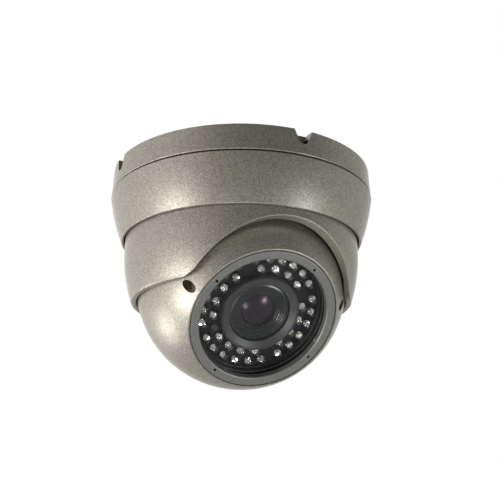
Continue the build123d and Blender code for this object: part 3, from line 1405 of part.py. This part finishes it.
# Zoom adjuster: slotted shaft with a pinion, behind the left-hand port.
with BuildPart() as zoom_adjuster:
    with BuildSketch(lens_plane(-PORT_U, PORT_V, ZOOM_N - SHAFT_TAIL)):
        Circle(SHAFT_R)
    extrude(amount=HEAD_N - ZOOM_N + SHAFT_TAIL)
    with BuildSketch(lens_plane(-PORT_U, PORT_V, ZOOM_N)):
        with BuildLine():
            Polyline(*gear_outline(PINION_TEETH, zoom_pinion_phase), close=True)
        make_face()
    extrude(amount=GEAR_T)
    with BuildSketch(lens_plane(-PORT_U, PORT_V, HEAD_N)):
        Circle(PORT_R - RUNNING)
    extrude(amount=HEAD_TOP_N - HEAD_N)
    with BuildSketch(lens_plane(-PORT_U, PORT_V, HEAD_TOP_N - SLOT_DEPTH)):
        Rectangle(*SLOT_SIZE)
    extrude(amount=SLOT_DEPTH + OVERRUN, mode=Mode.SUBTRACT)
zoom_adjuster.part.label = "zoom_adjuster"
export_step(zoom_adjuster.part, "parts/zoom_adjuster.step")
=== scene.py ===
import json
import math
import random

import bmesh
import bpy
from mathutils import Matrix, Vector


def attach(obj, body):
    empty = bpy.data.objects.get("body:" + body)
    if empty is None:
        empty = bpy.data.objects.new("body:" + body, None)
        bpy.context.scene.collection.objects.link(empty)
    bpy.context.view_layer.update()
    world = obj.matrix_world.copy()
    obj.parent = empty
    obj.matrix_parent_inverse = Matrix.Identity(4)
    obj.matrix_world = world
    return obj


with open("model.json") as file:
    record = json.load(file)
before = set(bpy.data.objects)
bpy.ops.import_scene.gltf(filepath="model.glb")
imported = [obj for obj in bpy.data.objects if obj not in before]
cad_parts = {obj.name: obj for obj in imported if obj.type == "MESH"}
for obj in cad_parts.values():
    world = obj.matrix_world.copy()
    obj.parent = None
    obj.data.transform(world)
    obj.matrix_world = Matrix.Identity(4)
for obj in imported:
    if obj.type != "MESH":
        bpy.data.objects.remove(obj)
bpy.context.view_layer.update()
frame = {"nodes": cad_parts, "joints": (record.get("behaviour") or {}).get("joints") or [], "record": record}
nodes = frame["nodes"]
MM = 0.001

# ---------------------------------------------------------------------------------------
# The frame's own sizes: the ball's centre, the lens axis and the lamps' places
# ---------------------------------------------------------------------------------------
joints = {j["name"]: j for j in frame["joints"]}
BALL = Vector(joints["tilt"]["pos_m"])
LENS_N = Vector(joints["zoom"]["axis"]).normalized()
LENS_U = Vector((1.0, 0.0, 0.0))
LENS_V = LENS_N.cross(LENS_U).normalized()


def lens_point(u, v, n):
    """Point in the row frame, from millimetres right, up and forward of the ball's centre."""
    return BALL + (LENS_U * u + LENS_V * v + LENS_N * n) * MM


def polar(radius, degrees):
    turn = math.radians(degrees)
    return radius * math.cos(turn), radius * math.sin(turn)


# ---------------------------------------------------------------------------------------
# Camera, lights and surroundings
# ---------------------------------------------------------------------------------------
CAMERA_AT = Vector((-0.1948, -0.4498, -0.2101))
CAMERA_TO = Vector((0.00443, -0.00192, -0.0420))
CAMERA_LENS = 67.4
SENSOR_WIDTH = 36.0
CLIP_START = 0.01


def aim(obj, target):
    obj.rotation_mode = "QUATERNION"
    obj.rotation_quaternion = (target - obj.location).to_track_quat("-Z", "Y")


def make_camera():
    data = bpy.data.cameras.new("photo_camera")
    data.lens = CAMERA_LENS
    data.sensor_width = SENSOR_WIDTH
    data.clip_start = CLIP_START
    camera = bpy.data.objects.new("photo_camera", data)
    bpy.context.scene.collection.objects.link(camera)
    camera.location = CAMERA_AT
    aim(camera, CAMERA_TO)
    bpy.context.scene.camera = camera


def direction(azimuth, elevation):
    a, e = math.radians(azimuth), math.radians(elevation)
    return Vector((math.sin(a) * math.cos(e), -math.cos(a) * math.cos(e), math.sin(e)))


# Soft boxes: name, azimuth and elevation in degrees, distance and size in metres, watts, colour.
LIGHT_CENTRE = Vector((0.0, 0.0, -0.055))
LIGHTS = (
    ("key_left", -85, -22, 0.80, (0.36, 0.26), 3.6, (1.0, 0.975, 0.93)),
    ("low_front", -35, -50, 0.80, (0.16, 0.16), 1.6, (1.0, 1.0, 1.0)),
    ("low_left", -132, -26, 0.80, (0.28, 0.22), 1.6, (1.0, 0.98, 0.94)),
    ("fill_right", 36, -24, 0.80, (0.10, 0.10), 2.4, (0.95, 0.975, 1.0)),
)


def area_light(name, azimuth, elevation, distance, size, power, colour):
    data = bpy.data.lights.new(name, "AREA")
    data.shape = "RECTANGLE"
    data.size, data.size_y = size
    data.energy = power
    data.color = colour
    light = bpy.data.objects.new(name, data)
    bpy.context.scene.collection.objects.link(light)
    light.location = LIGHT_CENTRE + direction(azimuth, elevation) * distance
    aim(light, LIGHT_CENTRE)


def make_lights():
    for light in LIGHTS:
        area_light(*light)


# Brightness of the studio round the object: a dim room, a broad glow on the left and a white
# sweep behind. Each glow has a direction, the cosines where it starts and ends, and a strength.
ROOM = 0.20
ROOM_COLOUR = (1.0, 0.99, 0.97, 1.0)
GLOWS = (
    (direction(-122, 8), 0.00, 0.92, 0.90),
    (direction(112, 4), 0.15, 0.95, 0.48),
    (direction(156.6, 22), 0.80, 0.97, 1.10),
    (direction(0, 90), 0.25, 0.80, -0.13),
)


def make_world():
    """The surroundings that light the object; the camera itself sees plain white."""
    world = bpy.data.worlds.new("studio")
    bpy.context.scene.world = world
    world.use_nodes = True
    tree = world.node_tree
    tree.nodes.clear()
    new, link = tree.nodes.new, tree.links.new
    coords = new("ShaderNodeTexCoord")
    total = None
    for centre, start, end, strength in GLOWS:
        dot = new("ShaderNodeVectorMath")
        dot.operation = "DOT_PRODUCT"
        dot.inputs[1].default_value = centre
        link(coords.outputs["Generated"], dot.inputs[0])
        glow = new("ShaderNodeMapRange")
        glow.interpolation_type = "SMOOTHSTEP"
        glow.inputs["From Min"].default_value = start
        glow.inputs["From Max"].default_value = end
        glow.inputs["To Max"].default_value = strength
        link(dot.outputs["Value"], glow.inputs["Value"])
        add = new("ShaderNodeMath")
        add.inputs[0].default_value = ROOM
        if total:
            link(total, add.inputs[0])
        link(glow.outputs["Result"], add.inputs[1])
        total = add.outputs["Value"]
    surround = new("ShaderNodeBackground")
    surround.inputs["Color"].default_value = ROOM_COLOUR
    link(total, surround.inputs["Strength"])
    seen = new("ShaderNodeBackground")
    seen.inputs["Color"].default_value = (1.0, 1.0, 1.0, 1.0)
    path = new("ShaderNodeLightPath")
    mix = new("ShaderNodeMixShader")
    link(path.outputs["Is Camera Ray"], mix.inputs["Fac"])
    link(surround.outputs["Background"], mix.inputs[1])
    link(seen.outputs["Background"], mix.inputs[2])
    out = new("ShaderNodeOutputWorld")
    link(mix.outputs["Shader"], out.inputs["Surface"])
    bpy.context.scene.view_settings.view_transform = "Standard"
    bpy.context.scene.view_settings.look = "None"


# ---------------------------------------------------------------------------------------
# Materials
# ---------------------------------------------------------------------------------------
FLAKE_MIDDLE = 0.45
FLAKE_GLOSS = (-0.05, 0.07)
CLOUD_SCALE = 60.0
CLOUD_SHARE = 0.10
CLOUD_COLOUR = (0.42, 0.39, 0.34)
PEEL_SCALE = 1500.0
PEEL_STRENGTH = 0.12
PEEL_DEPTH = 0.00006
MOTTLE_STOPS = (0.3, 0.7)
MOTTLE_SHARE = 0.15
GLOSS_SPREAD = 0.06
GRAIN_DEPTH = 0.00008
CLEAR_SCALE = 300.0
CLEAR_SPREAD = 0.01
COATING_SCALE = 90.0


def new_material(name):
    material = bpy.data.materials.new(name)
    material.use_nodes = True
    tree = material.node_tree
    shader = tree.nodes["Principled BSDF"]
    return material, tree, shader


def set_inputs(shader, **values):
    """Sets a shader's sockets by name, with underscores for the spaces."""
    for name, value in values.items():
        socket = shader.inputs[name.replace("_", " ")]
        socket.default_value = (*value, 1.0) if isinstance(value, tuple) and len(value) == 3 else value


def object_coords(tree):
    return tree.nodes.new("ShaderNodeTexCoord").outputs["Object"]


def noise(tree, coords, scale, detail=2.0, roughness=0.5):
    node = tree.nodes.new("ShaderNodeTexNoise")
    node.inputs["Scale"].default_value = scale
    node.inputs["Detail"].default_value = detail
    node.inputs["Roughness"].default_value = roughness
    tree.links.new(coords, node.inputs["Vector"])
    return node.outputs["Fac"]


def ramp(tree, value, stops):
    node = tree.nodes.new("ShaderNodeValToRGB")
    elements = node.color_ramp.elements
    elements[0].position, elements[0].color = stops[0][0], (*stops[0][1], 1.0)
    elements[1].position, elements[1].color = stops[-1][0], (*stops[-1][1], 1.0)
    for place, colour in stops[1:-1]:
        elements.new(place).color = (*colour, 1.0)
    tree.links.new(value, node.inputs["Fac"])
    return node.outputs["Color"]


def span(tree, value, low, high, start=0.0, end=1.0):
    node = tree.nodes.new("ShaderNodeMapRange")
    node.inputs["From Min"].default_value = start
    node.inputs["From Max"].default_value = end
    node.inputs["To Min"].default_value = low
    node.inputs["To Max"].default_value = high
    tree.links.new(value, node.inputs["Value"])
    return node.outputs["Result"]


def mix_colour(tree, factor, first, second):
    """Mixes a socket's colour with a fixed second colour."""
    node = tree.nodes.new("ShaderNodeMix")
    node.data_type = "RGBA"
    tree.links.new(factor, node.inputs["Factor"])
    tree.links.new(first, node.inputs[6])
    node.inputs[7].default_value = (*second, 1.0)
    return node.outputs[2]


def bump(tree, shader, height, strength, distance):
    node = tree.nodes.new("ShaderNodeBump")
    node.inputs["Strength"].default_value = strength
    node.inputs["Distance"].default_value = distance
    tree.links.new(height, node.inputs["Height"])
    tree.links.new(node.outputs["Normal"], shader.inputs["Normal"])


def metallic_paint(name, dark, mid, light, metallic, roughness, grain):
    """Satin paint with metal flake: fine speckle in colour and gloss over a faint orange peel."""
    material, tree, shader = new_material(name)
    coords = object_coords(tree)
    flakes = tree.nodes.new("ShaderNodeTexVoronoi")
    flakes.inputs["Scale"].default_value = grain
    tree.links.new(coords, flakes.inputs["Vector"])
    flake = tree.nodes.new("ShaderNodeSeparateColor")
    tree.links.new(flakes.outputs["Color"], flake.inputs["Color"])
    colour = ramp(tree, flake.outputs["Red"], [(0.0, dark), (FLAKE_MIDDLE, mid), (1.0, light)])
    cloud = noise(tree, coords, CLOUD_SCALE, 3.0)
    colour = mix_colour(tree, span(tree, cloud, 0.0, CLOUD_SHARE), colour, CLOUD_COLOUR)
    tree.links.new(colour, shader.inputs["Base Color"])
    gloss = span(tree, flake.outputs["Green"], roughness + FLAKE_GLOSS[0], roughness + FLAKE_GLOSS[1])
    tree.links.new(gloss, shader.inputs["Roughness"])
    set_inputs(shader, Metallic=metallic, IOR=1.5)
    peel = noise(tree, coords, PEEL_SCALE, 2.0)
    bump(tree, shader, peel, PEEL_STRENGTH, PEEL_DEPTH)
    return material


def plain(
    name, colour, roughness, metallic=0.0, variation=0.12, scale=700.0, bump_strength=0.08, **extra
):
    """Moulded or machined surface: slight mottling in colour and gloss and a fine grain."""
    material, tree, shader = new_material(name)
    coords = object_coords(tree)
    cloud = noise(tree, coords, scale * MOTTLE_SHARE, 3.0)
    fine = noise(tree, coords, scale, 2.0)
    low = tuple(c * (1 - variation) for c in colour)
    high = tuple(min(1.0, c * (1 + variation)) for c in colour)
    mottle = ramp(tree, cloud, list(zip(MOTTLE_STOPS, (low, high))))
    tree.links.new(mottle, shader.inputs["Base Color"])
    gloss = span(tree, fine, roughness - GLOSS_SPREAD, roughness + GLOSS_SPREAD)
    tree.links.new(gloss, shader.inputs["Roughness"])
    set_inputs(shader, Metallic=metallic, **extra)
    bump(tree, shader, fine, bump_strength, GRAIN_DEPTH)
    return material


def clear(name, tint, roughness, alpha):
    """Clear glass or epoxy as a faint bright film, so that what is behind it stays clean."""
    material, tree, shader = new_material(name)
    coords = object_coords(tree)
    fine = noise(tree, coords, CLEAR_SCALE, 2.0)
    gloss = span(tree, fine, roughness - CLEAR_SPREAD, roughness + CLEAR_SPREAD)
    tree.links.new(gloss, shader.inputs["Roughness"])
    set_inputs(shader, Base_Color=tint, Transmission_Weight=0.0, IOR=1.5, Alpha=alpha, Metallic=1.0)
    return material


def coated_glass(name):
    """Lens element seen from the front: an opaque near-black base colour is painted shade for the dark
    depths behind the glass, under a violet coating.
    """
    material, tree, shader = new_material(name)
    depth = noise(tree, object_coords(tree), COATING_SCALE, 1.0)
    # painted shade: this near-black ramp colours the element itself in place of the dark lens interior seen
    # through clear glass
    tone = ramp(tree, depth, [(0.35, (0.017, 0.014, 0.018)), (0.65, (0.024, 0.019, 0.025))])
    tree.links.new(tone, shader.inputs["Base Color"])
    set_inputs(shader, Roughness=0.24, IOR=1.35, Specular_Tint=(0.88, 0.66, 0.84))
    return material


def make_materials():
    return {
        "painted_casting": metallic_paint(
            "painted_casting",
            (0.20, 0.188, 0.162),
            (0.275, 0.26, 0.228),
            (0.40, 0.38, 0.34),
            metallic=0.72,
            roughness=0.40,
            grain=2300.0,
        ),
        "bezel_metal": metallic_paint(
            "bezel_metal",
            (0.125, 0.125, 0.122),
            (0.165, 0.165, 0.16),
            (0.23, 0.23, 0.225),
            metallic=0.6,
            roughness=0.42,
            grain=2900.0,
        ),
        "foam": plain("foam", (0.035, 0.035, 0.036), 0.95, bump_strength=0.5, scale=900.0),
        "black_rubber": plain("black_rubber", (0.012, 0.012, 0.012), 0.62),
        "felt": plain("felt", (0.012, 0.012, 0.012), 0.98, bump_strength=0.6, scale=1500.0),
        "shroud_rubber": plain("shroud_rubber", (0.034, 0.033, 0.034), 0.40, bump_strength=0.05),
        "steel": plain("steel", (0.56, 0.56, 0.55), 0.30, metallic=1.0, variation=0.05),
        "black_screw": plain("black_screw", (0.015, 0.015, 0.015), 0.35, metallic=0.6),
        "nylon": plain("nylon", (0.74, 0.72, 0.66), 0.5),
        "black_plastic": plain(
            "black_plastic", (0.006, 0.006, 0.007), 0.42, bump_strength=0.12, Specular_IOR_Level=0.3
        ),
        "window_glass": clear("window_glass", (0.92, 0.96, 1.0), 0.02, alpha=0.012),
        "lens_glass": coated_glass("lens_glass"),
        "led_lens": clear("led_lens", (0.95, 0.97, 1.0), 0.05, alpha=0.10),
        "circuit_board": plain("circuit_board", (0.012, 0.035, 0.022), 0.35, scale=400.0),
        "lens_black": plain("lens_black", (0.010, 0.013, 0.014), 0.30, scale=250.0, bump_strength=0.03),
        "chip": plain("chip", (0.02, 0.02, 0.022), 0.4),
        "connector_plastic": plain("connector_plastic", (0.78, 0.75, 0.66), 0.45),
        "brass": plain("brass", (0.72, 0.56, 0.27), 0.28, metallic=1.0),
        "gear_plate_metal": plain("gear_plate_metal", (0.62, 0.62, 0.62), 0.35, metallic=1.0),
        "lamp_silver": plain("lamp_silver", (0.97, 0.97, 0.96), 0.14, metallic=1.0, variation=0.03),
        "gear_plastic": plain("gear_plastic", (0.83, 0.82, 0.77), 0.4),
    }


def paint_cad(materials):
    """Gives each CAD node the material of its slot in the record."""
    for part in frame["record"]["subparts"]:
        node = nodes[part["node"]]
        material = materials[part["material_slot"]]
        if len(node.data.materials):
            for index in range(len(node.data.materials)):
                node.data.materials[index] = material
        else:
            node.data.materials.append(material)


# ---------------------------------------------------------------------------------------
# Floor
# ---------------------------------------------------------------------------------------
FLOOR_HALF = 2.0
FLOOR_LEVEL = -1.2
FLOOR_GRAIN = 12.0
FLOOR_TONES = [(0.3, (0.78, 0.78, 0.77)), (0.7, (0.82, 0.82, 0.81))]
SQUARE = ((-1, -1), (1, -1), (1, 1), (-1, 1))


def make_floor():
    mesh = bpy.data.meshes.new("floor")
    corners = [(i * FLOOR_HALF, j * FLOOR_HALF, FLOOR_LEVEL) for i, j in SQUARE]
    mesh.from_pydata(corners, [], [(0, 1, 2, 3)])
    floor = bpy.data.objects.new("floor", mesh)
    bpy.context.scene.collection.objects.link(floor)
    material, tree, shader = new_material("pale_floor")
    coords = object_coords(tree)
    tone = ramp(tree, noise(tree, coords, FLOOR_GRAIN), FLOOR_TONES)
    tree.links.new(tone, shader.inputs["Base Color"])
    set_inputs(shader, Roughness=0.8)
    mesh.materials.append(material)


# ---------------------------------------------------------------------------------------
# Inside the lamps: reflector cup with its post, second post, chip and bond wire
# ---------------------------------------------------------------------------------------
LED_BOARD_N = 24.9
RINGS = ((30.1, 14.3, 6), (24.3, 19.0, 4))
SECTOR_TURN = 29.4
SECTORS = 4
SECTOR_SPAN = 360 / SECTORS
TURN_SPREAD = 0.5
CUP_SIDES = 10
# Cup from outside to floor, in millimetres: radius, height, depth of the flutes, unevenness.
CUP_PROFILE = (
    (0.8, 2.6, 0.0, 0.0),
    (2.05, 4.6, 0.0, 0.0),
    (1.95, 4.7, 0.0, 0.0),
    (1.35, 4.1, 0.35, 0.25),
    (0.6, 3.1, 0.1, 0.0),
)
WIRE_PATH = ((0.0, 0.0, 3.55), (0.4, 0.0, 4.6), (1.1, 0.0, 5.4), (1.95, 0.0, 4.95))
WIRE_HALF = 0.045
# Boxes in millimetres: centre and size.
CUP_POST = ((-0.15, 0.0, 1.35), (1.1, 0.5, 2.3))
WIRE_POST = ((1.6, 0.0, 1.9), (0.5, 0.5, 3.4))
CHIP = ((0.0, 0.0, 3.25), (0.4, 0.4, 0.25))
BOX_FACES = ((0, 1, 2, 3), (4, 5, 6, 7), (0, 1, 5, 4), (1, 2, 6, 5), (2, 3, 7, 6), (3, 0, 4, 7))


def lamp_places():
    places = []
    for radius, pitch, count in RINGS:
        first = (SECTOR_SPAN - pitch * (count - 1)) / 2
        for sector in range(SECTORS):
            for lamp in range(count):
                degrees = SECTOR_TURN + SECTOR_SPAN * sector + first + pitch * lamp
                places.append(polar(radius, degrees))
    return places


def add_piece(name, bm, material, body):
    """Makes an object of a finished bmesh and ties it to its body and material slot."""
    mesh = bpy.data.meshes.new(name)
    bmesh.ops.recalc_face_normals(bm, faces=bm.faces)
    bm.to_mesh(mesh)
    bm.free()
    mesh.materials.append(material)
    obj = bpy.data.objects.new(name, mesh)
    bpy.context.scene.collection.objects.link(obj)
    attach(obj, body)


def turned_point(place, turn, x, y, n):
    c, s = math.cos(turn), math.sin(turn)
    return lens_point(place[0] + x * c - y * s, place[1] + x * s + y * c, LED_BOARD_N + n)


def add_box(bm, place, turn, centre, size):
    x, y, n = centre
    a, b, h = (length / 2 for length in size)
    corners = [
        bm.verts.new(turned_point(place, turn, x + i * a, y + j * b, n + k * h))
        for k in (-1, 1)
        for i, j in SQUARE
    ]
    for face in BOX_FACES:
        bm.faces.new([corners[i] for i in face])


def skin(bm, rings):
    """Joins rings of vertices into a closed tube."""
    sides = len(rings[0])
    for low, high in zip(rings, rings[1:]):
        for i in range(sides):
            j = (i + 1) % sides
            bm.faces.new((low[i], low[j], high[j], high[i]))
    bm.faces.new(rings[0])
    bm.faces.new(rings[-1])


def add_cup(bm, place, turn, rng):
    """Fluted cup, open towards the front: outside, rim, stepped inside and floor."""
    rings = []
    for radius, n, flute, wobble in CUP_PROFILE:
        ring = []
        for i in range(CUP_SIDES):
            r = radius + (flute if i % 2 else -flute)
            h = n + rng.uniform(-wobble, wobble)
            angle = math.tau * i / CUP_SIDES
            point = turned_point(place, turn, r * math.cos(angle), r * math.sin(angle), h)
            ring.append(bm.verts.new(point))
        rings.append(ring)
    skin(bm, rings)


def add_wire(bm, place, turn):
    """Bond wire: a thin square strand that arches from the chip to the second post."""
    half = WIRE_HALF
    rings = []
    for x, y, n in WIRE_PATH:
        rings.append([
            bm.verts.new(turned_point(place, turn, x + i * half, y + j * half, n + i * half))
            for i, j in SQUARE
        ])
    skin(bm, rings)


def make_lamp_insides(materials):
    rng = random.Random(7)
    frames, chips, wires = bmesh.new(), bmesh.new(), bmesh.new()
    for place in lamp_places():
        turn = math.atan2(place[1], place[0]) + rng.uniform(-TURN_SPREAD, TURN_SPREAD)
        add_cup(frames, place, turn, rng)
        add_box(frames, place, turn, *CUP_POST)
        add_box(frames, place, turn, *WIRE_POST)
        add_box(chips, place, turn, *CHIP)
        add_wire(wires, place, turn)
    add_piece("lamp_lead_frames", frames, materials["lamp_silver"], "eyeball")
    add_piece("lamp_chips", chips, materials["chip"], "eyeball")
    add_piece("lamp_bond_wires", wires, materials["brass"], "eyeball")


make_camera()
make_lights()
make_world()
make_floor()
materials = make_materials()
paint_cad(materials)
make_lamp_insides(materials)
